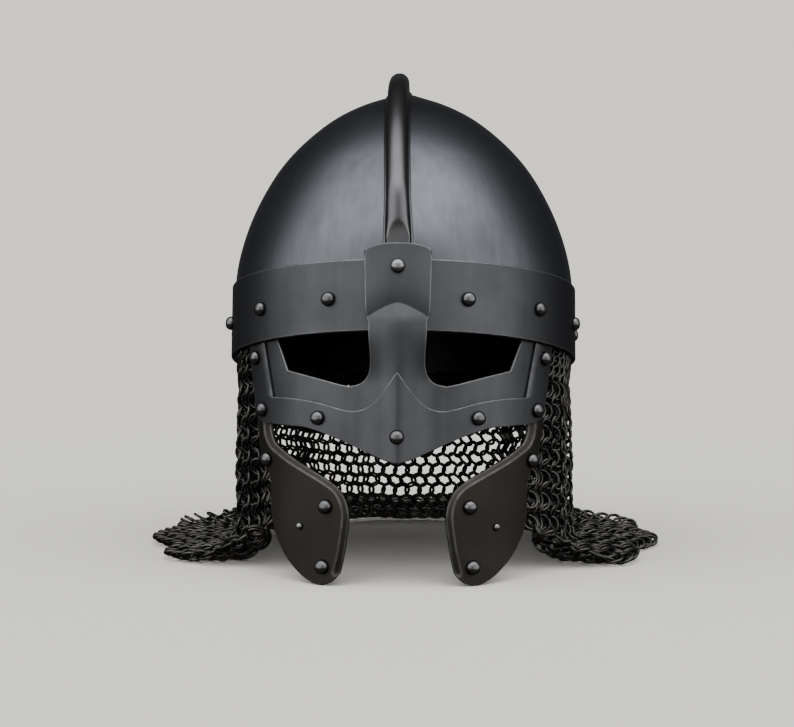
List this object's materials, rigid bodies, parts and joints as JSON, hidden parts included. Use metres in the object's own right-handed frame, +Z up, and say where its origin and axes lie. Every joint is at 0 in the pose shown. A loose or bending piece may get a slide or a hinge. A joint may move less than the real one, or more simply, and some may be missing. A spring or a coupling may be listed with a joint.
{
  "type": "combed spectacle helmet with cheek plates and mail aventail",
  "caption": "Dark steel combed helmet with riveted brow band, spectacle face guard, curved cheek plates and a black mail neck curtain spread on the ground.",
  "frame": {"origin": "on the surface it rests on, under the middle of the whole box", "axes": "+Z up from the surface, -Y the way the wearer looks, +X towards the wearer's left; the rigid helmet leans back 13 degrees about X"},
  "size_m": [0.315, 0.3288, 0.3009],
  "materials": {
    "bowl_steel": "dark blackened steel, satin, finely scratched",
    "band_steel": "dark blackened steel, satin, bright worn edges",
    "comb_steel": "dark blackened steel, satin, worn crest",
    "spectacle_steel": "dark blackened steel, satin, bright worn edges",
    "frame_steel": "dark blackened steel, satin, bright worn edges",
    "cheek_steel": "matt blackened steel with a worn turned edge",
    "rivet_steel": "dark steel, domed and rubbed",
    "bright_rivet": "rubbed bright steel",
    "black_mail": "blackened iron wire rings"
  },
  "bodies": {
    "root": {"band_rivet_left_1": "rivet_steel", "band_rivet_left_2": "rivet_steel", "band_rivet_left_3": "rivet_steel", "band_rivet_left_4": "rivet_steel", "band_rivet_left_5": "rivet_steel", "band_rivet_left_6": "rivet_steel", "band_rivet_right_1": "rivet_steel", "band_rivet_right_2": "rivet_steel", "band_rivet_right_3": "rivet_steel", "band_rivet_right_4": "rivet_steel", "band_rivet_right_5": "rivet_steel", "band_rivet_right_6": "rivet_steel", "bowl": "bowl_steel", "brow_band": "band_steel", "cheek_plate_left": "cheek_steel", "cheek_plate_right": "cheek_steel", "cheek_rivet_left_ear": "rivet_steel", "cheek_rivet_left_front": "rivet_steel", "cheek_rivet_left_small": "bright_rivet", "cheek_rivet_left_toe": "rivet_steel", "cheek_rivet_right_ear": "rivet_steel", "cheek_rivet_right_front": "rivet_steel", "cheek_rivet_right_small": "bright_rivet", "cheek_rivet_right_toe": "rivet_steel", "comb": "comb_steel", "face_frame": "frame_steel", "frame_rivet_left_corner": "rivet_steel", "frame_rivet_left_leg": "rivet_steel", "frame_rivet_left_under_eye": "rivet_steel", "frame_rivet_right_corner": "rivet_steel", "frame_rivet_right_leg": "rivet_steel", "frame_rivet_right_under_eye": "rivet_steel", "mail_aventail": "black_mail", "nose_rivet": "bright_rivet", "spectacle_plate": "spectacle_steel", "tab_rivet": "bright_rivet"}
  },
  "joints": []
}
